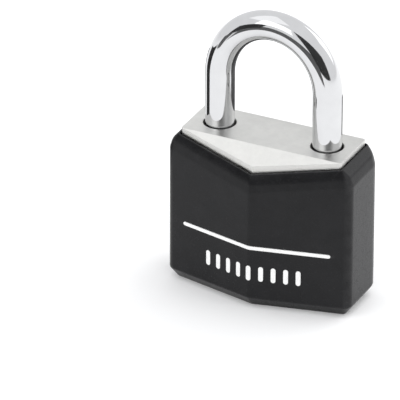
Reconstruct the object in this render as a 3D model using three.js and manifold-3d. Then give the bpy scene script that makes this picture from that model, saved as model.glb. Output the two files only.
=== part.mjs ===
// Covered solid-body padlock: an aluminium block in a moulded cover, a round shackle held by two
// cam-driven bolts, and a four-pin cylinder that is turned from below.
//
// Millimetres. +Z is up, -Y is the front with its vertical ridge, +X is right as seen from the
// front. The origin is the centre of the object's footprint on the ground. The padlock is shut,
// with its cylinder at the unlocked end of its turn, so that the shackle is free to lift.
import * as THREE from "three";
import { ConvexGeometry } from "three/addons/geometries/ConvexGeometry.js";
import { mergeVertices } from "three/addons/utils/BufferGeometryUtils.js";
import Module from "manifold-3d";

const wasm = await Module();
wasm.setup();

// ---------------------------------------------------------------- driving dimensions

// Clearances
const fitGap = 0.3; // between pieces that touch or slide
const inlayGap = 0.2; // round the stripe in its groove
const camGap = 0.45; // between the cam and the bolts' domed ends

// Aluminium block: flat back and sides, and a front of two faces that meet in a ridge
const blockWidth = 37.4;
const blockSideDepth = 12.5; // front corner to back
const blockRidge = 4.1; // ridge in front of the front corners
const bodyHeight = 36.3; // ground to the block's flat top
const facetDrop = 3.1; // fall of the top's front facet, from its corners to the ridge

// Moulded cover
const coverSideWall = 2.8;
const coverBackWall = 1.1;
const coverCornerWall = 0.75; // forward of the block's front corners
const coverRidgeWall = 1.6;
const coverFloor = 1.6;
const lipWall = 0.35; // cover's thickness at its top edge
const lipDrop = 1.3; // flat top down to the lip, at the sides
const lipDip = 3.5; // further fall of the lip at the ridge
const shoulderDrop = 5.0; // flat top down to the foot of the top bevel, at the sides
const shoulderDip = 3.6; // further fall of that foot at the ridge
const bevelCrown = { across: 0.28, up: 0.62 }; // where the top bevel bends, from foot to lip
const footBevelRise = 2.4;
const footBevelInset = 1.7;

// White stripe let into the cover's front
const stripeHeight = 14.4; // centre line above the ground
const stripeWidth = 1.0;
const stripeHalfSpan = 17.3; // ridge to the stripe's end, along X
const stripeThickness = 0.35;

// Shackle
const legRadius = 3.175;
const legSideWall = 2.575; // aluminium between a leg's bore and the block's side
const boreClearance = 0.35; // round each leg
const bowCentreHeight = 25.45; // flat top up to the middle of the bar, at the crown
const bowRise = 13.7; // height of the curved part
const boltDepth = 7.0; // flat top down to the locking bolts
const toeLand = 1.6; // toe left below its bolt notch
const neckCut = 0.75; // heel's neck, below the leg's radius
const collarLength = 2.6; // full-size end of the heel, below the neck
const openingGap = 1.2; // between the raised toe and the flat top
const legChamfer = 0.6;
const heelBoreFloor = 4.0; // above the ground

// Locking bolts and cam
const boltRadius = 2.4;
const boltDome = 0.9; // height of each domed end
const boltReach = 2.0; // how far a locked bolt stands in its leg
const camClearance = 0.6; // cam's lobes inside the cylinder bore
const camThickness = 4.0;

// Cylinder: plug, shell and pins
const plugRadius = 3.6;
const plugFace = 0.5; // plug's face above the ground
const plugHeadRadius = 4.3;
const plugTail = 1.4; // plug above the shell, for the clip
const tailSlot = { width: 1.9, depth: 1.4 };
const shellWall = 0.9;
const pinCount = 4;
const pinPitch = 3.6;
const pinRadius = 1.05;
const keyPinLengths = [3.4, 4.2, 3.0, 3.8]; // from the face inwards
const chamberFloor = -1.5; // lowest rest of a key pin, past the plug's axis
const driverLength = 2.1;
const pinSpringRoom = 2.1; // driver's outer end to the end of its chamber
const stripThickness = 0.4; // strip that shuts the chambers
const towerHalfWidth = 2.0; // shell's pin tower
const keyway = { low: -2.6, high: 1.9, half: 0.65, jog: 0.3 };
const clipThickness = 0.5;
const clipGrooveDepth = 0.9;
const retainerRadius = 0.9; // cross pin that keeps the shell in the block

// Springs
const shackleSpring = { radius: 2.4, wire: 0.35, turns: 6 };
const pinSpring = { radius: 0.8, wire: 0.13, turns: 3 };

// ---------------------------------------------------------------- sizes that follow

const coverFrontReach = blockRidge + coverRidgeWall;
const coverBackReach = blockSideDepth + coverBackWall;
const cornerY = (coverFrontReach - coverBackReach) / 2; // block's front corners
const legY = cornerY + blockSideDepth / 2; // legs, bolts and cylinder share this plane
const boreRadius = legRadius + boreClearance;
const legX = blockWidth / 2 - legSideWall - boreRadius;
const blockBottom = coverFloor + fitGap;

const boltZ = bodyHeight - boltDepth;
const toeEnd = boltZ - boltRadius - fitGap - toeLand;
const lift = bodyHeight + openingGap - toeEnd;
const collarTop = boltZ - boltRadius - fitGap - lift;
const heelEnd = collarTop - collarLength;

const plugBore = plugRadius + fitGap;
const shellRadius = plugBore + shellWall;
const pocketRadius = shellRadius + fitGap;
const camRadius = pocketRadius - camClearance;
const boltInnerLocked = camRadius + camGap;
const boltOuterLocked = legX - legRadius + boltReach;
const boltLength = boltOuterLocked - boltInnerLocked;
const toeTravel = boltReach + boreClearance; // drawn flush with the wall of the toe's bore
const heelTravel = boltReach - neckCut + fitGap; // stays out far enough to catch the collar

const plugTop = boltZ - boltRadius - 3 * fitGap;
const shellTop = plugTop - plugTail;
const shellBottom = blockBottom + fitGap;
const pinZ = (i) => (shellBottom + shellTop) / 2 + (i - (pinCount - 1) / 2) * pinPitch;
const chamberRadius = pinRadius + fitGap;
const driverInner = plugBore + fitGap / 6; // drivers rest just clear of the shear line
const towerFront = driverInner + driverLength + pinSpringRoom;
const stripFront = towerFront + fitGap + stripThickness;
const clipLow = shellTop + fitGap;
const clipInner = plugRadius - clipGrooveDepth + fitGap;
const retainerX = shellRadius + retainerRadius / 2;
const retainerZ = (shellBottom + shellTop) / 2;
const pinIndexes = Array.from({ length: pinCount }, (_, i) => i);
const unlockedTurn = Math.PI / 2; // the plug's turn from locked, as it is drawn

// ---------------------------------------------------------------- materials

const finish = (color, roughness, metalness) =>
  new THREE.MeshStandardMaterial({ color, roughness, metalness });
const aluminium = finish(0xd6d7d9, 0.35, 1.0);
const chrome = finish(0xe4e5e7, 0.08, 1.0);
const coverPlastic = finish(0x323234, 0.55, 0.0);
const whitePlastic = finish(0xf2f2f0, 0.45, 0.0);
const brass = finish(0xb9994f, 0.35, 1.0);
const springSteel = finish(0xa9abad, 0.3, 1.0);
const hardSteel = finish(0x8e9093, 0.4, 1.0);

// ---------------------------------------------------------------- solids and cuts

function toSolid(geometry) {
  geometry.deleteAttribute("normal");
  geometry.deleteAttribute("uv");
  const merged = mergeVertices(geometry, 1e-5);
  return new wasm.Manifold(
    new wasm.Mesh({
      numProp: 3,
      vertProperties: new Float32Array(merged.attributes.position.array),
      triVerts: new Uint32Array(merged.index.array),
    }),
  );
}

function toGeometry(solid) {
  const mesh = solid.getMesh();
  const geometry = new THREE.BufferGeometry();
  geometry.setAttribute("position", new THREE.BufferAttribute(mesh.vertProperties, 3));
  geometry.setIndex(new THREE.BufferAttribute(mesh.triVerts, 1));
  geometry.computeVertexNormals();
  return geometry;
}

const cutAway = (solid, ...tools) => tools.reduce((left, tool) => left.subtract(tool), solid);

// A box between two corners.
function block(low, high) {
  const size = high.map((value, i) => value - low[i]);
  const middle = high.map((value, i) => (value + low[i]) / 2);
  return toSolid(new THREE.BoxGeometry(...size).translate(...middle));
}

// A round bar along Z, about the point x, y.
function barZ(radius, low, high, x = 0, y = 0, sides = 32) {
  const bar = new THREE.CylinderGeometry(radius, radius, high - low, sides);
  return toSolid(bar.rotateX(Math.PI / 2).translate(x, y, (low + high) / 2));
}

// A round bar along X, about the point y, z.
function barX(radius, low, high, y, z, sides = 32) {
  const bar = new THREE.CylinderGeometry(radius, radius, high - low, sides);
  return toSolid(bar.rotateZ(Math.PI / 2).translate((low + high) / 2, y, z));
}

// A round bar along Y, about the point x, z.
function barY(radius, low, high, x, z, sides = 20) {
  const bar = new THREE.CylinderGeometry(radius, radius, high - low, sides);
  return toSolid(bar.translate(x, (low + high) / 2, z));
}

// A solid of revolution about Z from points [radius, z].
function turned(points, sides = 32) {
  const profile = points.map(([radius, z]) => new THREE.Vector2(radius, z));
  return toSolid(new THREE.LatheGeometry(profile, sides).rotateX(Math.PI / 2));
}

function polygon(points) {
  return new THREE.Shape(points.map(([x, y]) => new THREE.Vector2(x, y)));
}

function extruded(shape, low, high, curveSegments = 8) {
  const options = { depth: high - low, bevelEnabled: false, curveSegments };
  return toSolid(new THREE.ExtrudeGeometry(shape, options).translate(0, 0, low));
}

function disc(radius, sides) {
  const corner = (_, i) => [
    radius * Math.cos((2 * Math.PI * i) / sides),
    radius * Math.sin((2 * Math.PI * i) / sides),
  ];
  return polygon(Array.from({ length: sides }, corner));
}

function swept(shape, path, steps) {
  return toSolid(new THREE.ExtrudeGeometry(shape, { steps, extrudePath: path }));
}

// ---------------------------------------------------------------- five-sided sections

// Flat back and sides, and a front of two faces that meet at a ridge on x = 0.
const blockSection = {
  halfWidth: blockWidth / 2,
  cornerY,
  ridgeY: cornerY - blockRidge,
  backY: cornerY + blockSideDepth,
};
const coverSection = {
  halfWidth: blockWidth / 2 + coverSideWall,
  cornerY: cornerY - coverCornerWall,
  ridgeY: cornerY - coverFrontReach,
  backY: cornerY + coverBackReach,
};
const blockRounding = { ridge: 0.8, front: 0.6, back: 0.6 };
const coverRounding = { ridge: 2.0, front: 2.0, back: 3.2 };
const footRounding = { ridge: 1.0, front: 0.8, back: 1.8 };

// The same section with every wall moved out by a distance, or in where it is negative.
function offsetSection(section, distance) {
  const slope = Math.atan2(section.cornerY - section.ridgeY, section.halfWidth);
  return {
    halfWidth: section.halfWidth + distance,
    cornerY: section.cornerY - distance / Math.cos(slope) + distance * Math.tan(slope),
    ridgeY: section.ridgeY - distance / Math.cos(slope),
    backY: section.backY + distance,
  };
}

function blendSections(from, to, share) {
  const mixed = Object.keys(from).map((key) => [key, THREE.MathUtils.lerp(from[key], to[key], share)]);
  return Object.fromEntries(mixed);
}

function sectionShape(section, rounding) {
  const { halfWidth, cornerY: frontY, ridgeY, backY } = section;
  const corners = [
    [0, ridgeY, rounding.ridge],
    [halfWidth, frontY, rounding.front],
    [halfWidth, backY, rounding.back],
    [-halfWidth, backY, rounding.back],
    [-halfWidth, frontY, rounding.front],
  ];
  const points = corners.map(([x, y]) => new THREE.Vector2(x, y));
  const shape = new THREE.Shape();
  points.forEach((point, i) => {
    const before = points.at(i - 1).clone().sub(point).normalize();
    const after = points[(i + 1) % points.length].clone().sub(point).normalize();
    const trim = corners[i][2] / Math.tan(before.angleTo(after) / 2);
    const start = before.multiplyScalar(trim).add(point);
    const end = after.multiplyScalar(trim).add(point);
    if (i === 0) shape.moveTo(start.x, start.y);
    else shape.lineTo(start.x, start.y);
    shape.quadraticCurveTo(point.x, point.y, end.x, end.y);
  });
  shape.closePath();
  return shape;
}

// The section's outline at a height, falling in front of its corners by dip at the ridge.
function sectionRing(section, rounding, height, dip = 0) {
  const reach = section.cornerY - section.ridgeY;
  return sectionShape(section, rounding)
    .getPoints(4)
    .map(({ x, y }) => {
      const forward = Math.max(0, section.cornerY - y);
      return new THREE.Vector3(x, y, height - (dip * forward) / reach);
    });
}

const hull = (...rings) => toSolid(new ConvexGeometry(rings.flat()));

// ---------------------------------------------------------------- body

function makeBodyBlock() {
  const solid = hull(
    sectionRing(blockSection, blockRounding, blockBottom),
    sectionRing(blockSection, blockRounding, bodyHeight, facetDrop),
  );
  const above = bodyHeight + 1;
  const below = blockBottom - 1;
  const towerPocket = towerHalfWidth + fitGap;
  return cutAway(
    solid,
    barZ(boreRadius, heelBoreFloor, above, -legX, legY, 40),
    barZ(boreRadius, toeEnd - 2 * fitGap, above, legX, legY, 40),
    barX(boltRadius + fitGap, -legX, blockWidth, legY, boltZ),
    barZ(pocketRadius, below, boltZ + camThickness / 2 + fitGap, 0, legY),
    block(
      [-towerPocket, legY - stripFront - fitGap, below],
      [towerPocket, legY, shellTop + fitGap],
    ),
    barY(retainerRadius + fitGap, legY - plugRadius, blockSection.backY + 1, retainerX, retainerZ),
  );
}

function makeCoverShell() {
  const lipSection = offsetSection(blockSection, fitGap + lipWall);
  const crownSection = blendSections(coverSection, lipSection, bevelCrown.across);
  const up = bevelCrown.up;
  const crownDrop = THREE.MathUtils.lerp(shoulderDrop, lipDrop, up);
  const crownDip = THREE.MathUtils.lerp(shoulderDip, lipDip, up);
  const outside = hull(
    sectionRing(offsetSection(coverSection, -footBevelInset), footRounding, 0),
    sectionRing(coverSection, coverRounding, footBevelRise),
    sectionRing(coverSection, coverRounding, bodyHeight - shoulderDrop, shoulderDip),
    sectionRing(crownSection, coverRounding, bodyHeight - crownDrop, crownDip),
    sectionRing(lipSection, blockRounding, bodyHeight - lipDrop, lipDip),
  );
  const cavity = sectionShape(offsetSection(blockSection, fitGap), blockRounding);
  return cutAway(
    outside,
    extruded(cavity, coverFloor, bodyHeight + 1),
    barZ(plugHeadRadius + fitGap, -1, coverFloor + 1, 0, legY),
    stripeBand(stripeWidth / 2 + inlayGap, stripeThickness + inlayGap),
  );
}

// A band round the cover's front with half-round ends, cut into its faces to a depth.
function stripeBand(halfWidth, depth) {
  const reach = stripeHalfSpan - stripeWidth / 2;
  const ends = new THREE.Shape();
  ends.absarc(reach, 0, halfWidth, -Math.PI / 2, Math.PI / 2);
  ends.absarc(-reach, 0, halfWidth, Math.PI / 2, (3 * Math.PI) / 2);
  const options = { depth: blockWidth, bevelEnabled: false, curveSegments: 8 };
  const slab = new THREE.ExtrudeGeometry(ends, options).rotateX(Math.PI / 2);
  const front = toSolid(slab.translate(0, cornerY, stripeHeight));
  const low = stripeHeight - stripeWidth;
  const high = stripeHeight + stripeWidth;
  const skin = extruded(sectionShape(coverSection, coverRounding), low, high);
  const behind = sectionShape(offsetSection(coverSection, -depth), coverRounding);
  return front.intersect(skin).subtract(extruded(behind, low - 1, high + 1));
}

const makeStripe = () => stripeBand(stripeWidth / 2, stripeThickness);

const makeSidePlug = () =>
  barX(boltRadius, legX + boreRadius + fitGap, blockWidth / 2 - fitGap, legY, boltZ);

// ---------------------------------------------------------------- shackle and bolts

function makeShackle() {
  const springLine = bodyHeight + bowCentreHeight - bowRise;
  const crownZ = bodyHeight + bowCentreHeight;
  const path = new THREE.CurvePath();
  const point = (x, z) => new THREE.Vector3(x, legY, z);
  path.add(new THREE.LineCurve3(point(-legX, heelEnd), point(-legX, springLine)));
  path.add(new BowCurve(springLine, crownZ - springLine));
  path.add(new THREE.LineCurve3(point(legX, springLine), point(legX, toeEnd)));
  const bar = swept(disc(legRadius, 24), path, 56);
  const neckRadius = legRadius - neckCut;
  const neckTop = boltZ + boltRadius + fitGap;
  const neck = turned([
    [neckRadius, collarTop],
    [legRadius + 1, collarTop],
    [legRadius + 1, neckTop],
    [neckRadius, neckTop],
    [neckRadius, collarTop],
  ]);
  const notchDepth = boltReach + fitGap;
  const innerFace = legX - legRadius;
  const notchRadius = boltRadius + fitGap;
  return cutAway(
    bar,
    neck.translate([-legX, legY, 0]),
    barX(notchRadius, -innerFace - notchDepth, -innerFace + 1, legY, boltZ),
    barX(notchRadius, innerFace - 1, innerFace + notchDepth, legY, boltZ),
    endChamfer().translate([-legX, legY, heelEnd]),
    endChamfer().translate([legX, legY, toeEnd]),
  );
}

// Half an ellipse from the heel's side over the top to the toe's side.
class BowCurve extends THREE.Curve {
  constructor(base, rise) {
    super();
    this.base = base;
    this.rise = rise;
  }

  getPoint(t, target = new THREE.Vector3()) {
    const angle = Math.PI * (1 - t);
    return target.set(legX * Math.cos(angle), legY, this.base + this.rise * Math.sin(angle));
  }
}

function endChamfer() {
  return turned([
    [legRadius - legChamfer, -1],
    [legRadius + 1, -1],
    [legRadius + 1, 1 + legChamfer],
    [legRadius, legChamfer],
    [legRadius - legChamfer, 0],
    [legRadius - legChamfer, -1],
  ]);
}

// A bar with domed ends along X, from its inner end on the cam to its outer end in the leg.
function makeBolt(side, travel) {
  const domeRadius = (boltRadius ** 2 + boltDome ** 2) / (2 * boltDome);
  const sweep = Math.asin(boltRadius / domeRadius);
  const steps = 5;
  const dome = (i) => {
    const angle = (sweep * i) / steps;
    return [domeRadius * Math.sin(angle), domeRadius * (1 - Math.cos(angle))];
  };
  const inner = Array.from({ length: steps + 1 }, (_, i) => dome(i));
  const outer = inner.map(([radius, z]) => [radius, boltLength - z]).reverse();
  const middle = (inner[0][1] + outer.at(-1)[1]) / 2;
  const bolt = turned([...inner, ...outer], 28).translate([0, 0, -middle]);
  const x = side * (boltInnerLocked - travel + boltLength / 2);
  return bolt.rotate([0, side * 90, 0]).translate([x, legY, boltZ]);
}

// Four straight ramps round the cam, full at the lobes and low where each bolt rests unlocked.
function camReach(angle) {
  const quarter = (angle / (Math.PI / 2)) % 4;
  const marks = [camRadius, camRadius - heelTravel, camRadius, camRadius - toeTravel, camRadius];
  const step = Math.floor(quarter);
  return THREE.MathUtils.lerp(marks[step], marks[step + 1], quarter - step);
}

function makeCam() {
  const sides = 64;
  const edge = Array.from({ length: sides }, (_, i) => {
    const angle = (2 * Math.PI * i) / sides;
    return [camReach(angle) * Math.cos(angle), camReach(angle) * Math.sin(angle)];
  });
  const low = boltZ - camThickness / 2;
  const tangHalf = tailSlot.width / 2 - fitGap;
  const tang = block(
    [-clipInner + fitGap, -tangHalf, plugTop - tailSlot.depth + fitGap],
    [clipInner - fitGap, tangHalf, low + 1],
  );
  return extruded(polygon(edge), low, low + camThickness).add(tang);
}

// ---------------------------------------------------------------- cylinder

// Shell: a tube round the plug with a tower in front of it for the driver pins.
function makeCylinderShell() {
  const tube = barZ(shellRadius, shellBottom, shellTop, 0, 0, 40);
  const tower = block(
    [-towerHalfWidth, -towerFront, shellBottom],
    [towerHalfWidth, -plugRadius, shellTop],
  );
  const chambers = pinIndexes.map((i) => barY(chamberRadius, -towerFront - 1, 0, 0, pinZ(i)));
  return cutAway(
    tube.add(tower),
    barZ(plugBore, shellBottom - 1, shellTop + 1, 0, 0, 40),
    ...chambers,
    barY(retainerRadius + fitGap, -plugRadius, shellRadius + 1, retainerX, retainerZ),
  );
}

function makeChamberStrip() {
  return block(
    [-towerHalfWidth, -stripFront, shellBottom],
    [towerHalfWidth, -towerFront - fitGap, shellTop],
  );
}

const makeRetainer = () =>
  barY(retainerRadius, -plugRadius + fitGap, blockSideDepth / 2 - fitGap, retainerX, retainerZ);

// Plug, with its chambers towards -Y: the keyway is narrower than a pin, so that pins rest on
// its edges.
function makeCylinderPlug() {
  const body = barZ(plugRadius, plugFace, plugTop, 0, 0, 40);
  const head = barZ(plugHeadRadius, plugFace, blockBottom, 0, 0, 40);
  const { low, high, half, jog } = keyway;
  const slot = polygon([
    [-half + jog, -high],
    [half + jog, -high],
    [half + jog, -jog],
    [half - jog, jog],
    [half - jog, -low],
    [-half - jog, -low],
    [-half - jog, jog],
    [-half + jog, -jog],
  ]);
  const chambers = pinIndexes.map((i) =>
    barY(chamberRadius, -plugRadius - 1, -chamberFloor + fitGap, 0, pinZ(i)),
  );
  const tailHalf = tailSlot.width / 2;
  const groove = turned([
    [plugRadius - clipGrooveDepth, clipLow - fitGap],
    [plugRadius + 1, clipLow - fitGap],
    [plugRadius + 1, clipLow + clipThickness + fitGap],
    [plugRadius - clipGrooveDepth, clipLow + clipThickness + fitGap],
    [plugRadius - clipGrooveDepth, clipLow - fitGap],
  ]);
  return cutAway(
    body.add(head),
    extruded(slot, plugFace - 1, pinZ(pinCount - 1) + chamberRadius + fitGap),
    ...chambers,
    groove,
    block(
      [-plugRadius - 1, -tailHalf, plugTop - tailSlot.depth],
      [plugRadius + 1, tailHalf, plugTop + 1],
    ),
  );
}

// Open ring that snaps into the plug's groove above the shell.
function makePlugClip() {
  const outer = shellRadius - fitGap;
  const mouth = 0.6; // half the ring's opening, in radians
  const ring = new THREE.Shape();
  ring.absarc(0, 0, outer, mouth, 2 * Math.PI - mouth, false);
  ring.absarc(0, 0, clipInner, 2 * Math.PI - mouth, mouth, true);
  return extruded(ring, clipLow, clipLow + clipThickness, 24);
}

// A pin along -Y whose inner end stands at a distance from the plug's axis.
function makePin(inner, length, z) {
  const tip = pinRadius * 0.45;
  const profile = [
    [0, 0],
    [pinRadius - tip, 0],
    [pinRadius, tip],
    [pinRadius, length],
    [0, length],
  ];
  const pin = turned(profile, 18).rotate([90, 0, 0]);
  return pin.translate([0, -inner, z]);
}

const keyPinTop = plugRadius - fitGap / 3;
const makeKeyPin = (i) => makePin(keyPinTop - keyPinLengths[i], keyPinLengths[i], pinZ(i));
const makeDriverPin = (i) => makePin(driverInner, driverLength, pinZ(i));

// ---------------------------------------------------------------- springs

class Helix extends THREE.Curve {
  constructor(radius, length, turns) {
    super();
    this.radius = radius;
    this.length = length;
    this.turns = turns;
  }

  getPoint(t, target = new THREE.Vector3()) {
    const angle = 2 * Math.PI * this.turns * t;
    return target.set(this.radius * Math.cos(angle), this.radius * Math.sin(angle), this.length * t);
  }
}

function coil({ radius, wire, turns }, length, stepsPerTurn) {
  const path = new Helix(radius, length - 2 * wire, turns);
  return swept(disc(wire, 6), path, turns * stepsPerTurn).translate([0, 0, wire]);
}

function makeShackleSpring() {
  const low = heelBoreFloor + fitGap;
  const spring = coil(shackleSpring, heelEnd - fitGap - low, 12);
  return spring.translate([-legX, legY, low]);
}

function makePinSpring(i) {
  const inner = driverInner + driverLength + fitGap / 2;
  const spring = coil(pinSpring, towerFront - inner, 9).rotate([90, 0, 0]);
  return spring.translate([0, -inner, pinZ(i)]);
}

// ---------------------------------------------------------------- assembly

function named(name, solid, material) {
  const mesh = new THREE.Mesh(toGeometry(solid), material);
  mesh.name = name;
  return mesh;
}

const padlock = new THREE.Group();
padlock.add(
  named("body_block", makeBodyBlock(), aluminium),
  named("cover_shell", makeCoverShell(), coverPlastic),
  named("stripe_inlay", makeStripe(), whitePlastic),
  named("side_plug", makeSidePlug(), hardSteel),
  named("shackle", makeShackle(), chrome),
  named("shackle_spring", makeShackleSpring(), springSteel),
  named("locking_bolt_heel", makeBolt(-1, heelTravel), hardSteel),
  named("locking_bolt_toe", makeBolt(1, toeTravel), hardSteel),
);

// The cylinder's fixed pieces stand on its axis, and its turning pieces are drawn unlocked.
const cylinder = new THREE.Group();
cylinder.position.set(0, legY, 0);
cylinder.add(
  named("cylinder_shell", makeCylinderShell(), brass),
  named("chamber_strip", makeChamberStrip(), brass),
  named("shell_retainer", makeRetainer(), hardSteel),
);
const rotor = new THREE.Group();
rotor.rotation.z = unlockedTurn;
rotor.add(
  named("cylinder_plug", makeCylinderPlug(), brass),
  named("plug_clip", makePlugClip(), springSteel),
  named("cam", makeCam(), hardSteel),
);
for (const i of pinIndexes) {
  rotor.add(named(`key_pin_${i + 1}`, makeKeyPin(i), brass));
  cylinder.add(
    named(`driver_pin_${i + 1}`, makeDriverPin(i), brass),
    named(`pin_spring_${i + 1}`, makePinSpring(i), springSteel),
  );
}
cylinder.add(rotor);
padlock.add(cylinder);

export default padlock;
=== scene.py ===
"""Builds a covered padlock's visible pieces, its materials and a small studio on its CAD frame."""

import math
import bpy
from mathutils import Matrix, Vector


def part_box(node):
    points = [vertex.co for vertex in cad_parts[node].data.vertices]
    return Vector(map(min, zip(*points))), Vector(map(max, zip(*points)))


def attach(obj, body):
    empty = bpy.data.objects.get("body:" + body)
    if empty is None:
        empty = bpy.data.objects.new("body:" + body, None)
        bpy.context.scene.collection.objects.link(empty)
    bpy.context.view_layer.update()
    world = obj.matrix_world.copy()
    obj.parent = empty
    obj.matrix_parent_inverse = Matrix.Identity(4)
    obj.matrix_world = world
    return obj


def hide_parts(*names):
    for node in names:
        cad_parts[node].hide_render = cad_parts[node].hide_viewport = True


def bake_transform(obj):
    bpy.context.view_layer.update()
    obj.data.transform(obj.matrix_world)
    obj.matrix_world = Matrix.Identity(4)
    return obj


bl_info = {
    "name": "Covered padlock",
    "version": (1, 0, 0),
    "blender": (4, 5, 0),
    "location": "3D View > Sidebar > Padlock",
    "description": "Builds a covered padlock and its studio on the padlock's CAD frame",
    "category": "Add Mesh",
}

import bmesh
import bpy
from mathutils import Matrix, Quaternion, Vector

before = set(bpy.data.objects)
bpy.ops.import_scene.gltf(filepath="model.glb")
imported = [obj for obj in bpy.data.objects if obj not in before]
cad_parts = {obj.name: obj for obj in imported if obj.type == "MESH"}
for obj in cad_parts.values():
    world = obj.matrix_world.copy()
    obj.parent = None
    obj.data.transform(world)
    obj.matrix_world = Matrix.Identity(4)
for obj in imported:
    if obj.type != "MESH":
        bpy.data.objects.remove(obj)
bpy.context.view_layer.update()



def height(node_name):
    """Height of a CAD node's middle."""
    low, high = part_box(node_name)
    return (low.z + high.z) / 2


MM = 0.001
COVER_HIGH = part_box("cover_shell")[1]
BLOCK_LOW, BLOCK_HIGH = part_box("body_block")
SHACKLE_LOW, SHACKLE_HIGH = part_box("shackle")
PLUG_LOW, PLUG_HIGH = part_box("cylinder_plug")
STRIPE_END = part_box("stripe_inlay")[1].x
STRIPE_HEIGHT = height("stripe_inlay")
PIN_COUNT = 4


# ---------------------------------------------------------------- sizes and colours


def length(name, description, default):
    """A size in metres."""
    return bpy.props.FloatProperty(
        name=name, description=description, default=default, precision=5, unit="LENGTH"
    )


def amount(name, description, default, low=0.0, high=1.0):
    """A plain number between two limits."""
    return bpy.props.FloatProperty(
        name=name, description=description, default=default, min=low, max=high
    )


def colour(name, description, default):
    """A colour, linear."""
    return bpy.props.FloatVectorProperty(
        name=name,
        description=description,
        default=default,
        size=3,
        min=0.0,
        max=1.0,
        subtype="COLOR",
    )


class PadlockBlockSizes(bpy.types.PropertyGroup):
    half_width: length("Half width", "Middle to a side face", BLOCK_HIGH.x)
    corner: length("Front corners", "Y of the two front corners", -3.95 * MM)
    ridge: length("Ridge", "Y of the sharp ridge between the front faces", -8.05 * MM)
    facet_drop: length("Facet drop", "Fall of the top's front facet to the ridge", 3.1 * MM)
    ridge_round: length("Ridge rounding", "Radius along the ridge", 0.8 * MM)
    corner_round: length("Corner rounding", "Radius of the other upright edges", 0.6 * MM)
    rim: length("Rim", "Width of the broken edge round the top", 0.22 * MM)
    bore_flare: length("Bore flare", "Width of the chamfer round each bore", 0.3 * MM)
    bore: length("Bore", "Radius of the two shackle bores", 3.525 * MM)
    heel_floor: length("Heel bore floor", "Height of the deep bore's floor", 4.0 * MM)
    toe_floor: length("Toe bore floor", "Height of the shallow bore's floor", 24.4 * MM)
    channel: length("Bolt channel", "Radius of the cross channel", 2.7 * MM)
    channel_height: length("Channel height", "Height of the cross channel", 29.3 * MM)
    pocket: length("Cylinder pocket", "Radius of the cylinder's pocket", 5.1 * MM)
    pocket_top: length("Pocket top", "Height of the pocket's end", 31.6 * MM)
    metal: colour("Aluminium", "Colour of the bare block", (0.76, 0.758, 0.735))


class PadlockCoverSizes(bpy.types.PropertyGroup):
    corner: length("Front corners", "Y of the two front corners", -4.70 * MM)
    ridge: length("Ridge", "Y of the sharp ridge between the front faces", -9.65 * MM)
    ridge_round: length("Ridge rounding", "Radius along the ridge", 2.0 * MM)
    front_round: length("Front rounding", "Radius of the front upright edges", 2.0 * MM)
    back_round: length("Back rounding", "Radius of the back upright edges", 3.2 * MM)
    gap: length("Gap", "Clearance between cover and block", 0.3 * MM)
    lip: length("Lip", "Thickness of the top edge", 0.35 * MM)
    lip_drop: length("Lip drop", "Block's top down to the lip at the sides", 1.3 * MM)
    lip_dip: length("Lip dip", "Further fall of the lip at the ridge", 3.5 * MM)
    shoulder_drop: length("Shoulder drop", "Block's top down to the bevel's foot", 5.0 * MM)
    shoulder_dip: length("Shoulder dip", "Further fall of that foot at the ridge", 4.0 * MM)
    crown_across: amount("Crown across", "Where the bevel bends, inwards", 0.36)
    crown_up: amount("Crown up", "Where the bevel bends, upwards", 0.60)
    foot_rise: length("Foot rise", "Height of the foot bevel", 2.4 * MM)
    foot_inset: length("Foot inset", "Width of the foot bevel", 1.7 * MM)
    crease: length("Crease", "How far the crisp creases are rounded", 0.35 * MM)
    floor: length("Floor", "Thickness of the cover's floor", 1.6 * MM)
    plug_hole: length("Plug hole", "Radius of the hole for the plug", 4.6 * MM)
    plastic: colour("Plastic", "Colour of the moulded cover", (0.0100, 0.0100, 0.0108))
    # Lighter edge colour: partly rubbed plastic, partly a painted highlight along the rounded
    # edges.
    worn_and_highlit: colour("Worn and highlit plastic", "Colour of its rubbed edges with a painted highlight", (0.045, 0.045, 0.046))


class PadlockMarkSizes(bpy.types.PropertyGroup):
    stripe_width: length("Stripe width", "Width of the white stripe", 0.88 * MM)
    stripe_gap: length("Stripe gap", "Groove round the stripe", 0.07 * MM)
    stripe_depth: length("Groove depth", "Depth of the stripe's groove", 0.42 * MM)
    bar_count: bpy.props.IntProperty(
        name="Bars", description="Number of printed bars", default=9, min=1, max=40
    )
    bar_pitch: length("Bar pitch", "Middle of one bar to the next", 2.65 * MM)
    bar_width: length("Bar width", "Width of a bar", 1.05 * MM)
    bar_height: length("Bar height", "Height of a bar", 3.5 * MM)
    bar_thickness: length("Print thickness", "How proud the print stands", 0.06 * MM)
    bar_centre: length("Row height", "Height of the row above the ground", 8.4 * MM)
    white: colour("White", "Colour of the stripe and the bars", (0.92, 0.92, 0.91))


class PadlockShackleSizes(bpy.types.PropertyGroup):
    bar: length("Bar radius", "Radius of the round bar", 3.175 * MM)
    neck: length("Neck radius", "Radius of the heel's neck", 2.425 * MM)
    neck_low: length("Neck foot", "Height of the neck's lower end", 14.1 * MM)
    neck_high: length("Neck head", "Height of the neck's upper end", 32.0 * MM)
    toe_end: length("Toe end", "Height of the short leg's end", 25.0 * MM)
    bow_rise: length("Bow rise", "Height of the curved part, to the bar's middle", 13.7 * MM)
    chamfer: length("Chamfer", "Broken edge at each leg's end", 0.6 * MM)
    notch_depth: length("Notch depth", "Depth of each bolt notch", 2.3 * MM)
    step: length("Step", "Distance between sections along the bar", 0.3 * MM)
    plate: colour("Chrome", "Colour of the plated bar", (0.68, 0.683, 0.69))


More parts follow.
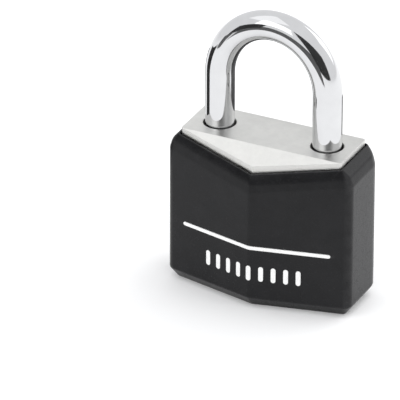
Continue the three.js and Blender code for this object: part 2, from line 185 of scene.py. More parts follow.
class PadlockCylinderSizes(bpy.types.PropertyGroup):
    head_round: length("Head rounding", "Rounding of the plug's face", 0.25 * MM)
    plug: length("Plug radius", "Radius of the plug", 3.6 * MM)
    head_top: length("Head top", "Height of the head's upper side", 1.9 * MM)
    edge: length("Edge", "Broken edge on the turned and milled pieces", 0.1 * MM)
    brass: colour("Brass", "Colour of the cylinder and its pins", (0.66, 0.49, 0.20))
    steel: colour("Hard steel", "Colour of bolts, cam and cross pin", (0.46, 0.47, 0.49))
    wire: colour("Spring steel", "Colour of the springs and the clip", (0.56, 0.57, 0.59))


class PadlockStageSizes(bpy.types.PropertyGroup):
    floor_half: length("Floor", "Half the floor's side", 6.0)
    lens: amount("Lens", "Focal length in millimetres", 600.0, 1.0, 1000.0)
    azimuth: amount("Azimuth", "Camera's turn to the right, degrees", 25.89, -360, 360)
    elevation: amount("Elevation", "Camera's height above the horizon, degrees", 28.0, -90, 90)
    roll: amount("Roll", "Camera's roll, degrees", 0.2, -180, 180)
    distance: length("Distance", "Camera to the point it is aimed at", 1.4085)
    floor_glow: amount("Floor glow", "Light the lit paper table gives of itself", 0.12)
    floor_colour: colour("Floor", "Colour of the floor", (0.87, 0.87, 0.87))


# ---------------------------------------------------------------- meshes


def as_object(name, bm):
    """A new object at the origin from a bmesh, which is freed."""
    mesh = bpy.data.meshes.new(name)
    bm.to_mesh(mesh)
    bm.free()
    made = bpy.data.objects.new(name, mesh)
    bpy.context.scene.collection.objects.link(made)
    return made


def settle(piece):
    """Turns what the piece's modifiers make of it into its own plain mesh."""
    graph = bpy.context.evaluated_depsgraph_get()
    settled = bpy.data.meshes.new_from_object(
        piece.evaluated_get(graph), preserve_all_data_layers=True, depsgraph=graph
    )
    piece.modifiers.clear()
    old = piece.data
    piece.data = settled
    settled.name = piece.name
    bpy.data.meshes.remove(old)


def face_rings(bm, rings, closed):
    """Quads between neighbouring rings of points. A ring of one point is a pole."""
    made = [[bm.verts.new(point) for point in ring] for ring in rings]
    pairs = list(zip(made, made[1:]))
    if closed:
        pairs.append((made[-1], made[0]))
    count = max(len(ring) for ring in made)
    for low, high in pairs:
        for i in range(count):
            j = (i + 1) % count
            corners = [low[i % len(low)], low[j % len(low)]]
            corners += [high[j % len(high)], high[i % len(high)]]
            distinct = list(dict.fromkeys(corners))
            if len(distinct) > 2:
                bm.faces.new(distinct)
    return made


def lofted(rings, closed=False):
    """A closed solid through rings: joined end to end, or with flat ends."""
    bm = bmesh.new()
    made = face_rings(bm, rings, closed)
    if not closed:
        for end in (made[0], made[-1]):
            if len(end) > 2:
                bm.faces.new(end)
    bmesh.ops.recalc_face_normals(bm, faces=bm.faces)
    return bm


def circle(radius, height, sides):
    """A ring of points about Z."""
    turns = [2 * math.pi * i / sides for i in range(sides)]
    return [Vector((radius * math.cos(t), radius * math.sin(t), height)) for t in turns]


def turned(profile, sides=64):
    """A solid turned about Z from (radius, height) points, the first and last on the axis."""
    rings = [
        circle(radius, height, sides) if radius > 0 else [Vector((0, 0, height))]
        for radius, height in profile
    ]
    return lofted(rings)


def bar(radius, low, high, sides=64):
    """A round bar along Z."""
    return turned([(0, low), (radius, low), (radius, high), (0, high)], sides)


def box(low, high):
    """A box between two corners."""
    x0, y0, z0 = low
    x1, y1, z1 = high
    outline = [(x0, y0), (x1, y0), (x1, y1), (x0, y1)]
    return lofted([[Vector((x, y, z)) for x, y in outline] for z in (z0, z1)])


def moved(bm, *steps):
    """The bmesh after some matrices, first to last."""
    for step in steps:
        bmesh.ops.transform(bm, matrix=step, verts=bm.verts)
    return bm


def shift(x, y, z):
    return Matrix.Translation((x, y, z))


def rotation(degrees, axis):
    return Matrix.Rotation(math.radians(degrees), 4, axis)


def along_x(bm, y, z):
    """A solid drawn along Z, laid along X."""
    return moved(bm, rotation(90, "Y"), shift(0, y, z))


def cut(piece, *cutters):
    """Takes each cutter's solid out of the piece."""
    for i, cutter in enumerate(cutters):
        tool = as_object(f"cutter_{i}", cutter)
        boolean = piece.modifiers.new("cut", "BOOLEAN")
        boolean.operation = "DIFFERENCE"
        boolean.solver = "EXACT"
        boolean.object = tool
        settle(piece)
        bpy.data.objects.remove(tool)


def soften(piece, width, segments=2, angle=40):
    """Breaks the piece's sharp edges."""
    bevel = piece.modifiers.new("broken edges", "BEVEL")
    bevel.width = width
    bevel.segments = segments
    bevel.limit_method = "ANGLE"
    bevel.angle_limit = math.radians(angle)
    settle(piece)


def clean(piece):
    """Merges doubles and drops slivers left by cutting."""
    bm = bmesh.new()
    bm.from_mesh(piece.data)
    bmesh.ops.remove_doubles(bm, verts=bm.verts, dist=0.002 * MM)
    bmesh.ops.dissolve_degenerate(bm, edges=bm.edges, dist=0.002 * MM)
    bmesh.ops.delete(bm, geom=flaps(bm), context="FACES")
    bm.to_mesh(piece.data)
    bm.free()


def flaps(bm):
    """Faces that only join a few others along clean edges, so enclose nothing."""
    found, left = [], set(bm.faces)
    while left:
        island, front = [], [left.pop()]
        while front:
            face = front.pop()
            island.append(face)
            joined = [edge.link_faces for edge in face.edges if len(edge.link_faces) == 2]
            for other in {other for pair in joined for other in pair} & left:
                left.discard(other)
                front.append(other)
        if len(island) < 4:
            found += island
    return found


def shade(piece, sharp=35):
    """Smooth shading that keeps flat faces flat and hard edges hard."""
    mesh = piece.data
    mesh.polygons.foreach_set("use_smooth", [True] * len(mesh.polygons))
    mesh.set_sharp_from_angle(angle=math.radians(sharp))
    weighted = piece.modifiers.new("face weights", "WEIGHTED_NORMAL")
    weighted.mode = "FACE_AREA"
    weighted.keep_sharp = True
    settle(piece)


def mark_edge_wear_and_highlight(piece):
    """Stores how strongly each point stands on an outward edge, from 0 to 1."""
    start, full = 0.10, 0.30  # radians between the faces at an edge
    bm = bmesh.new()
    bm.from_mesh(piece.data)
    worn_and_highlit = []
    for vertex in bm.verts:
        turn = max((e.calc_face_angle_signed(0.0) for e in vertex.link_edges), default=0.0)
        worn_and_highlit.append(min(1.0, max(0.0, (turn - start) / (full - start))))
    bm.free()
    # This mark drives rubbed edges on the metals and, on the cover, partly a painted highlight.
    attribute = piece.data.attributes.new("wear", "FLOAT", "POINT")
    attribute.data.foreach_set("value", worn_and_highlit)


def complete(piece, material, body, slot, stands_for=(), sharp=35):
    """Shades a piece, gives it its material and puts it on its body."""
    mark_edge_wear_and_highlight(piece)
    shade(piece, sharp)
    piece.data.materials.clear()
    piece.data.materials.append(material)
    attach(piece, body)
    if stands_for:
        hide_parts(*stands_for)
    return piece


def refined(node, name, edge):
    """A copy of a CAD node with its triangles merged into faces and its edges broken."""
    bm = bmesh.new()
    bm.from_mesh(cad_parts[node].data)
    bmesh.ops.remove_doubles(bm, verts=bm.verts, dist=0.001 * MM)
    bmesh.ops.dissolve_limit(
        bm, angle_limit=math.radians(1), verts=bm.verts, edges=bm.edges
    )
    piece = as_object(name, bm)
    if edge > 0:
        soften(piece, edge)
        clean(piece)
    return piece


# ---------------------------------------------------------------- five-sided sections


class Section:
    """Flat back and sides, and a front of two faces that meet at a ridge on x = 0."""

    def __init__(self, half_width, corner, ridge, back):
        self.half_width = half_width
        self.corner = corner
        self.ridge = ridge
        self.back = back

    def offset(self, distance):
        """The same section with every wall moved out."""
        slope = math.atan2(self.corner - self.ridge, self.half_width)
        forward = distance / math.cos(slope)
        return Section(
            self.half_width + distance,
            self.corner - forward + distance * math.tan(slope),
            self.ridge - forward,
            self.back + distance,
        )

    def blend(self, other, share):
        """A section between this one and another."""
        return Section(
            *(
                getattr(self, key) + (getattr(other, key) - getattr(self, key)) * share
                for key in ("half_width", "corner", "ridge", "back")
            )
        )

    def outline(self, rounding, steps, front_shares=(), side_shares=(), back_shares=()):
        """Points round the section from the ridge, anticlockwise, with rounded corners.

        rounding is (ridge, front, back). Shares are where the straight runs are divided."""
        ridge_round, front_round, back_round = rounding
        corners = [
            (Vector((0, self.ridge)), ridge_round),
            (Vector((self.half_width, self.corner)), front_round),
            (Vector((self.half_width, self.back)), back_round),
            (Vector((-self.half_width, self.back)), back_round),
            (Vector((-self.half_width, self.corner)), front_round),
        ]
        arcs = []
        for i, (point, radius) in enumerate(corners):
            before = (corners[i - 1][0] - point).normalized()
            after = (corners[(i + 1) % 5][0] - point).normalized()
            trim = radius / math.tan(before.angle(after) / 2)
            start, end = point + before * trim, point + after * trim
            arcs.append([bent(start, point, end, k / steps) for k in range(steps + 1)])
        mirrored = [1 - share for share in reversed(front_shares)]
        runs = [front_shares, side_shares, back_shares, side_shares, mirrored]
        points = []
        for i, arc in enumerate(arcs):
            following = arcs[(i + 1) % 5][0]
            points += arc
            points += [arc[-1].lerp(following, share) for share in runs[i]]
        return points

    def ring(self, points, height, dip=0.0):
        """The outline at a height, falling in front of the corners by dip at the ridge."""
        reach = self.corner - self.ridge
        return [
            Vector((p.x, p.y, height - dip * max(0.0, self.corner - p.y) / reach))
            for p in points
        ]


def bent(start, middle, end, share):
    """A point on the curve that leaves start and reaches end, both aimed at middle."""
    rest = 1 - share
    return start * rest * rest + middle * (2 * share * rest) + end * share * share


def with_creases(levels, steps=5):
    """Rings for levels of (ring, rounding), joined end to end, with rounded creases."""
    rings = []
    for k, (ring, rounding) in enumerate(levels):
        if rounding == 0:
            rings.append(ring)
            continue
        before = levels[k - 1][0]
        after = levels[(k + 1) % len(levels)][0]
        for step in range(steps + 1):
            rings.append(
                [
                    bent(toward(p, b, rounding), p, toward(p, a, rounding), step / steps)
                    for p, b, a in zip(ring, before, after)
                ]
            )
    return rings


def toward(point, target, distance):
    """A point some way towards a target, and at most 45% of the way."""
    reach = target - point
    return point + reach * min(0.45, distance / reach.length)


def block_section():
    sizes = bpy.context.scene.padlock_block
    return Section(sizes.half_width, sizes.corner, sizes.ridge, BLOCK_HIGH.y)


def cover_section():
    sizes = bpy.context.scene.padlock_cover
    return Section(COVER_HIGH.x, sizes.corner, sizes.ridge, COVER_HIGH.y)


def cover_rounding():
    sizes = bpy.context.scene.padlock_cover
    return sizes.ridge_round, sizes.front_round, sizes.back_round


def front_face(x):
    """Y of the cover's front at x, its rounded ridge included."""
    steps = 12
    points = cover_section().outline(cover_rounding(), steps)
    # From the middle of the ridge's arc to the end of the front corner's.
    half = [p for p in points[steps // 2 : 2 * (steps + 1)] if p.x >= 0]
    for low, high in zip(half, half[1:]):
        if low.x <= abs(x) <= high.x:
            share = (abs(x) - low.x) / max(high.x - low.x, 1e-12)
            return low.y + (high.y - low.y) * share
    raise ValueError(f"x = {x} is beyond the cover's front")


# ---------------------------------------------------------------- materials


def add_node(tree, kind, inputs=None, output=0, **settings):
    """One output of a new node. Its inputs, by name or place, are values, sockets or lists."""
    made = tree.nodes.new(kind)
    for key, value in settings.items():
        setattr(made, key, value)
    for key, value in (inputs or {}).items():
        for each in value if isinstance(value, list) else [value]:
            if isinstance(each, bpy.types.NodeSocket):
                tree.links.new(each, made.inputs[key])
            else:
                made.inputs[key].default_value = each
    return made.outputs[output]


def tinted(shade, factor):
    """A colour made darker or lighter."""
    return tuple(min(1.0, factor * part) for part in shade)


class Finish:
    """A material under construction: one Principled shader, fed by patterns on the object."""

    def __init__(self, name, base, roughness, metallic=0.0):
        self.material = bpy.data.materials.new(name)
        self.material.use_nodes = True
        self.material.diffuse_color = (*base, 1.0)
        self.tree = self.material.node_tree
        self.shader = self.tree.nodes["Principled BSDF"].inputs
        self.shader["Base Color"].default_value = (*base, 1.0)
        self.shader["Roughness"].default_value = roughness
        self.shader["Metallic"].default_value = metallic
        self.place = self.add("ShaderNodeTexCoord", output="Object")
        self.relief = None

    def add(self, kind, inputs=None, output=0, **settings):
        return add_node(self.tree, kind, inputs, output, **settings)

    def feed(self, name, value):
        """Links a pattern to one of the shader's inputs."""
        self.tree.links.new(value, self.shader[name])

    def noise(self, cell, detail=3.0, rough=0.5, stretch=(1, 1, 1)):
        """Noise whose features are about a cell across, stretched along some axes."""
        scale = tuple(0.5 / (cell * s) for s in stretch)
        place = self.add("ShaderNodeMapping", {"Vector": self.place, "Scale": scale})
        inputs = {"Vector": place, "Scale": 1.0, "Detail": detail, "Roughness": rough}
        return self.add("ShaderNodeTexNoise", inputs, "Fac")

    def ranged(self, value, low, high, start=0.3, end=0.7):
        """The value's middle part spread from low to high."""
        limits = {"From Min": start, "From Max": end, "To Min": low, "To Max": high}
        return self.add("ShaderNodeMapRange", {"Value": value, **limits})

    def mixed(self, share, first, second):
        """A colour between two, each a colour or a socket."""
        ends = [c if isinstance(c, bpy.types.NodeSocket) else (*c, 1.0) for c in (first, second)]
        # A mix node's colour sockets come after those for numbers and vectors.
        return self.add("ShaderNodeMix", {0: share, 6: ends[0], 7: ends[1]}, 2, data_type="RGBA")

    def maths(self, operation, first, second):
        return self.add("ShaderNodeMath", {0: first, 1: second}, operation=operation)

    def wear(self):
        """How worn the edges are, and on the cover how strongly a highlight is painted on them:
        the mesh's own mark, broken up.
        """
        mark = self.add("ShaderNodeAttribute", output="Fac", attribute_name="wear")
        patches = self.ranged(self.noise(1.5 * MM, 4.0, 0.6), 0.15, 1.0, 0.35, 0.7)
        return self.maths("MULTIPLY", mark, patches)

    def bump(self, value, distance):
        """Adds relief whose full height is a distance."""
        inputs = {"Height": value, "Strength": 1.0, "Distance": distance}
        if self.relief is not None:
            inputs["Normal"] = self.relief
        self.relief = self.add("ShaderNodeBump", inputs)
        self.feed("Normal", self.relief)


def cover_plastic():
    sizes = bpy.context.scene.padlock_cover
    base, worn_and_highlit = tuple(sizes.plastic), tuple(sizes.worn_and_highlit)
    finish = Finish("moulded_cover_plastic", base, 0.35)
    finish.shader["Specular IOR Level"].default_value = 0.18
    cloudy = finish.ranged(finish.noise(2.2 * MM, 4.0, 0.6), 0.0, 1.0)
    body = finish.mixed(cloudy, base, tinted(base, 1.35))
    # Edges lighter by the edge mark: partly rubbed plastic, partly a painted highlight along the
    # rounded edges.
    finish.feed("Base Color", finish.mixed(finish.wear(), body, worn_and_highlit))
    patchy = finish.noise(0.6 * MM, 5.0, 0.7)
    finish.feed("Roughness", finish.ranged(patchy, 0.12, 0.34))
    grain, peel = finish.noise(0.11 * MM, 2.0), finish.noise(0.9 * MM, 3.0, 0.55)
    finish.bump(grain, 0.006 * MM)
    finish.bump(peel, 0.018 * MM)
    return finish.material


def block_aluminium():
    metal = tuple(bpy.context.scene.padlock_block.metal)
    finish = Finish("bare_block_aluminium", metal, 0.42, 1.0)
    brushing = finish.noise(0.06 * MM, 3.0, 0.6, stretch=(60, 1, 1))
    clouds = finish.noise(1.6 * MM, 5.0, 0.65)
    pale = finish.ranged(clouds, 0.0, 1.0)
    finish.feed("Base Color", finish.mixed(pale, tinted(metal, 0.87), metal))
    fine = finish.ranged(brushing, -0.05, 0.05)
    broad = finish.ranged(clouds, 0.36, 0.48)
    finish.feed("Roughness", finish.maths("ADD", fine, broad))
    finish.bump(brushing, 0.0016 * MM)
    finish.bump(clouds, 0.006 * MM)
    return finish.material


def shackle_chrome():
    plate = tuple(bpy.context.scene.padlock_shackle.plate)
    finish = Finish("shackle_chrome", plate, 0.06, 1.0)
    haze = finish.noise(2.5 * MM, 4.0, 0.6)
    pale = finish.ranged(haze, 0.0, 1.0)
    finish.feed("Base Color", finish.mixed(pale, tinted(plate, 0.94), plate))
    finish.feed("Roughness", finish.ranged(haze, 0.035, 0.085))
    finish.bump(finish.noise(1.8 * MM), 0.0022 * MM)
    return finish.material


def print_white():
    white = tuple(bpy.context.scene.padlock_marks.white)
    finish = Finish("printed_white", white, 0.45)
    specks = finish.noise(0.22 * MM, 4.0, 0.7)
    clear = finish.ranged(specks, 0.0, 1.0, 0.28, 0.5)
    finish.feed("Base Color", finish.mixed(clear, tinted(white, 0.86), white))
    finish.feed("Roughness", finish.ranged(specks, 0.38, 0.52))
    finish.bump(specks, 0.004 * MM)
    return finish.material


def turned_metal(name, metal, roughness, stretch=(1, 1, 1)):
    """Metal with fine tool marks, drawn out along the axes that stretch more."""
    metal = tuple(metal)
    finish = Finish(name, metal, roughness, 1.0)
    marks = finish.noise(0.05 * MM, 2.0, stretch=stretch)
    clouds = finish.noise(1.2 * MM, 4.0, 0.6)
    body = finish.mixed(finish.ranged(clouds, 0.0, 1.0), tinted(metal, 0.8), metal)
    finish.feed("Base Color", finish.mixed(finish.wear(), body, tinted(metal, 1.15)))
    fine = finish.ranged(marks, -0.06, 0.06)
    broad = finish.ranged(clouds, roughness - 0.06, roughness + 0.06)
    finish.feed("Roughness", finish.maths("ADD", fine, broad))
    finish.bump(marks, 0.0015 * MM)
    return finish.material


def floor_paper():
    sizes = bpy.context.scene.padlock_stage
    finish = Finish("floor_paper", tuple(sizes.floor_colour), 0.9)
    finish.shader["Emission Color"].default_value = (1.0, 1.0, 1.0, 1.0)
    finish.shader["Emission Strength"].default_value = sizes.floor_glow
    finish.bump(finish.noise(0.8 * MM), 0.01 * MM)
    return finish.material


# ---------------------------------------------------------------- geometry node trees


class Tree:
    """A geometry node tree under construction, whose inputs are named under their kinds."""

    def __init__(self, name, **kinds):
        self.tree = bpy.data.node_groups.new(name, "GeometryNodeTree")
        self.identifiers = {}
        for kind, titles in {**kinds, "Material": ["Material"]}.items():
            for title in titles:
                made = self.tree.interface.new_socket(
                    name=title, in_out="INPUT", socket_type=f"NodeSocket{kind}"
                )
                self.identifiers[title] = made.identifier
        self.tree.interface.new_socket(
            name="Geometry", in_out="OUTPUT", socket_type="NodeSocketGeometry"
        )
        self.inputs = self.tree.nodes.new("NodeGroupInput").outputs
        self.output = self.tree.nodes.new("NodeGroupOutput").inputs["Geometry"]

    def add(self, kind, inputs=None, output=0, **settings):
        return add_node(self.tree, kind, inputs, output, **settings)

    def maths(self, operation, *values):
        return self.add("ShaderNodeMath", dict(enumerate(values)), operation=operation)

    def vector(self, x, y, z):
        return self.add("ShaderNodeCombineXYZ", {"X": x, "Y": y, "Z": z})

    def place(self, axis):
        """One coordinate of every point."""
        place = self.add("GeometryNodeInputPosition")
        return self.add("ShaderNodeSeparateXYZ", {"Vector": place}, axis)

    def round_bar(self, curve, **inputs):
        """A bar along a curve, with flat ends."""
        ring = {"Resolution": self.inputs["Sides"], "Radius": inputs.pop("Radius", 1.0)}
        profile = self.add("GeometryNodeCurvePrimitiveCircle", ring)
        inputs = {"Curve": curve, "Profile Curve": profile, "Fill Caps": True, **inputs}
        return self.add("GeometryNodeCurveToMesh", inputs)

    def finish(self, geometry):
        """Ends the tree: real meshes with one material."""
        real = self.add("GeometryNodeRealizeInstances", {"Geometry": geometry})
        smooth = self.add("GeometryNodeSetShadeSmooth", {"Geometry": real})
        inputs = {"Geometry": smooth, "Material": self.inputs["Material"]}
        self.tree.links.new(self.add("GeometryNodeSetMaterial", inputs), self.output)
        return self

    def grow(self, name, values):
        """A plain mesh object from the tree with these input values."""
        made = as_object(name, bmesh.new())
        modifier = made.modifiers.new("growth", "NODES")
        modifier.node_group = self.tree
        for title, value in values.items():
            modifier[self.identifiers[title]] = value
        settle(made)
        if not made.data.polygons:
            raise RuntimeError(f"{name}: its node tree made nothing")
        return made


def shackle_tree():
    """A round bar up one leg, over the bow and down the other, with a neck on its heel."""
    lengths = ["Leg Offset", "Depth", "Heel End", "Toe End", "Spring Line", "Bow Rise"]
    lengths += ["Bow Length", "Bar Radius", "Neck Radius", "Neck Low", "Neck High"]
    tree = Tree("shackle_bar", Float=lengths + ["Chamfer", "Step"], Int=["Sides"])
    i, add, maths = tree.inputs, tree.add, tree.maths
    rise = maths("SUBTRACT", i["Spring Line"], i["Heel End"])
    fall = maths("SUBTRACT", i["Spring Line"], i["Toe End"])
    bow_end = maths("ADD", rise, i["Bow Length"])
    total = maths("ADD", bow_end, fall)
    line = add("GeometryNodeCurvePrimitiveLine", {"End": tree.vector(0.0, 0.0, total)})
    steps = add("GeometryNodeResampleCurve", {"Curve": line, "Length": i["Step"]}, mode="LENGTH")
    # The distance along the bar, before it is bent, gives every point its place.
    along = tree.place("Z")
    share = maths("DIVIDE", maths("SUBTRACT", along, rise), i["Bow Length"])
    held = add("ShaderNodeClamp", {"Value": share})
    angle = maths("MULTIPLY", maths("SUBTRACT", 1.0, held), math.pi)
    x = maths("MULTIPLY", i["Leg Offset"], maths("COSINE", angle))
    climbed = maths("MINIMUM", maths("ADD", along, i["Heel End"]), i["Spring Line"])
    arched = maths("MULTIPLY", i["Bow Rise"], maths("SINE", angle))
    dropped = maths("MAXIMUM", maths("SUBTRACT", along, bow_end), 0.0)
    z = maths("SUBTRACT", maths("ADD", climbed, arched), dropped)
    # Radius: full, drawn in at the two chamfered ends and along the heel's neck.
    tip = maths("SUBTRACT", i["Bar Radius"], i["Chamfer"])
    from_heel = maths("ADD", tip, along)
    from_toe = maths("ADD", tip, maths("SUBTRACT", total, along))
    ends = maths("MINIMUM", maths("MINIMUM", from_heel, from_toe), i["Bar Radius"])
    past_start = maths("GREATER_THAN", along, maths("SUBTRACT", i["Neck Low"], i["Heel End"]))
    before_stop = maths("LESS_THAN", along, maths("SUBTRACT", i["Neck High"], i["Heel End"]))
    drawn_in = maths("SUBTRACT", i["Bar Radius"], i["Neck Radius"])
    neck = maths("MULTIPLY", maths("MULTIPLY", past_start, before_stop), drawn_in)
    radius = maths("SUBTRACT", ends, neck)
    sized = add("GeometryNodeSetCurveRadius", {"Curve": steps, "Radius": radius})
    place = tree.vector(x, i["Depth"], z)
    curve = add("GeometryNodeSetPosition", {"Geometry": sized, "Position": place})
    return tree.finish(tree.round_bar(curve, Scale=add("GeometryNodeInputRadius")))


def coil_tree():
    """A coil spring along Z, turned and put in its place."""
    tree = Tree(
        "coil_spring",
        Float=["Coil Radius", "Wire Radius", "Length", "Turns"],
        Int=["Steps Per Turn", "Sides"],
        Vector=["Turned", "Place"],
    )
    i = tree.inputs
    radii = {"Start Radius": i["Coil Radius"], "End Radius": i["Coil Radius"]}
    turns = {"Resolution": i["Steps Per Turn"], "Rotations": i["Turns"], "Height": i["Length"]}
    spiral = tree.add("GeometryNodeCurveSpiral", {**turns, **radii})
    wire = tree.round_bar(spiral, Radius=i["Wire Radius"])
    inputs = {"Geometry": wire, "Translation": i["Place"], "Rotation": i["Turned"]}
    return tree.finish(tree.add("GeometryNodeTransform", inputs))


def bars_tree():
    """A level row of upright round-ended bars on two faces that meet at a ridge."""
    lengths = ["Pitch", "Bar Width", "Bar Height", "Thickness", "Ridge Y", "Face Slope"]
    tree = Tree("printed_bars", Int=["Count"], Float=lengths + ["Row Height"])
    i, add, maths = tree.inputs, tree.add, tree.maths
    size = {"Width": i["Bar Width"], "Height": i["Bar Height"]}
    outline = add("GeometryNodeCurvePrimitiveQuadrilateral", size)
    # Just under half the width, so that the two arcs of an end don't meet in one point.
    corner = maths("MULTIPLY", i["Bar Width"], 0.49)
    arcs = {"Curve": outline, "Count": 8, "Radius": corner}
    rounded = add("GeometryNodeFilletCurve", arcs, mode="POLY")
    face = add("GeometryNodeFillCurve", {"Curve": rounded}, mode="NGONS")
    thickness = maths("MULTIPLY", i["Thickness"], 2.0)
    inputs = {"Mesh": face, "Offset Scale": thickness, "Individual": False}
    raised = add("GeometryNodeExtrudeMesh", inputs)
    back = add("GeometryNodeFlipFaces", {"Mesh": face})
    shut = add("GeometryNodeJoinGeometry", {"Geometry": [raised, back]})
    merging = {"Geometry": shut, "Distance": 0.001 * MM}
    solid = add("GeometryNodeMergeByDistance", merging)
    half_in = tree.vector(0.0, i["Thickness"], 0.0)
    stood = {"Geometry": solid, "Translation": half_in, "Rotation": (math.pi / 2, 0.0, 0.0)}
    upright = add("GeometryNodeTransform", stood)
    spacing = {"Count": i["Count"], "Offset": tree.vector(i["Pitch"], 0.0, 0.0)}
    row = add("GeometryNodeMeshLine", spacing, mode="OFFSET")
    gaps = maths("SUBTRACT", i["Count"], 1.0)
    half = maths("MULTIPLY", maths("MULTIPLY", gaps, i["Pitch"]), 0.5)
    x = maths("SUBTRACT", tree.place("X"), half)
    back_off = maths("MULTIPLY", maths("ABSOLUTE", x), maths("TANGENT", i["Face Slope"]))
    place = tree.vector(x, maths("ADD", i["Ridge Y"], back_off), i["Row Height"])
    laid = add("GeometryNodeSetPosition", {"Geometry": row, "Position": place})
    turn = maths("MULTIPLY", maths("SIGN", tree.place("X")), i["Face Slope"])
    copies = {"Points": laid, "Instance": upright, "Rotation": tree.vector(0.0, 0.0, turn)}
    return tree.finish(add("GeometryNodeInstanceOnPoints", copies))


# ---------------------------------------------------------------- pieces


def leg_offset():
    """Middle of the padlock to the middle of a leg."""
    return SHACKLE_HIGH.x - bpy.context.scene.padlock_shackle.bar


def leg_depth():
    """Y of the plane that the legs, bolts and cylinder share."""
    return (SHACKLE_LOW.y + SHACKLE_HIGH.y) / 2


class PADLOCK_OT_block(bpy.types.Operator):
    """Builds the bare aluminium block with its bores and its channel"""

    bl_idname = "padlock.block"
    bl_label = "Block"

    def execute(self, context):
        sizes = context.scene.padlock_block
        section = block_section()
        rounding = (sizes.ridge_round, sizes.corner_round, sizes.corner_round)
        outline = with_crossings(section.outline(rounding, 8), section.corner)
        low = section.ring(outline, BLOCK_LOW.z)
        high = section.ring(outline, BLOCK_HIGH.z, sizes.facet_drop)
        bm = bmesh.new()
        for point in low + high:
            bm.verts.new(point)
        hull = bmesh.ops.convex_hull(bm, input=bm.verts)
        loose = [v for v in hull["geom_interior"] if isinstance(v, bmesh.types.BMVert)]
        bmesh.ops.delete(bm, geom=loose, context="VERTS")
        bmesh.ops.dissolve_limit(
            bm, angle_limit=math.radians(1), verts=bm.verts, edges=bm.edges
        )
        bmesh.ops.recalc_face_normals(bm, faces=bm.faces)
        piece = as_object("aluminium_block", bm)
        soften(piece, sizes.rim, 3, 20)
        x, y, top = leg_offset(), leg_depth(), BLOCK_HIGH.z
        channel = bar(sizes.channel, -x, BLOCK_HIGH.x + MM)
        chambers_half, chambers_front, chambers_top = 2.3 * MM, -8.88 * MM, 24.9 * MM
        pin_x, pin_height, pin_radius, pin_front = 5.25 * MM, 13.4 * MM, 1.2 * MM, 1.3 * MM
        cross_pin = bar(pin_radius, -pin_front, BLOCK_HIGH.y + MM, 32)
        cut(
            piece,
            moved(self.bore(sizes, sizes.heel_floor, top), shift(-x, y, 0)),
            moved(self.bore(sizes, sizes.toe_floor, top), shift(x, y, 0)),
            along_x(channel, y, sizes.channel_height),
            moved(bar(sizes.pocket, 0.0, sizes.pocket_top), shift(0, y, 0)),
            box((-chambers_half, chambers_front + y, 0.0), (chambers_half, y, chambers_top)),
            moved(cross_pin, rotation(-90, "X"), shift(pin_x, 0, pin_height)),
        )
        clean(piece)
        metal = block_aluminium()
        complete(piece, metal, "body", "block_aluminium", ["body_block"], sharp=50)
        return {"FINISHED"}

    def bore(self, sizes, floor, top):
        """What is taken out for a leg: a round hole with a flared mouth."""
        radius, flare = sizes.bore, sizes.bore_flare
        profile = [(0, floor), (radius, floor), (radius, top - flare)]
        profile += [(radius + 0.3 * flare, top - 0.35 * flare), (radius + flare, top)]
        profile += [(radius + flare, top + MM), (0, top + MM)]
        return turned(profile, 96)


def with_crossings(points, y):
    """The outline with a point added wherever it crosses a line of constant y."""
    made = []
    for i, point in enumerate(points):
        following = points[(i + 1) % len(points)]
        made.append(point)
        if (point.y - y) * (following.y - y) < 0:
            made.append(point.lerp(following, (y - point.y) / (following.y - point.y)))
    return made


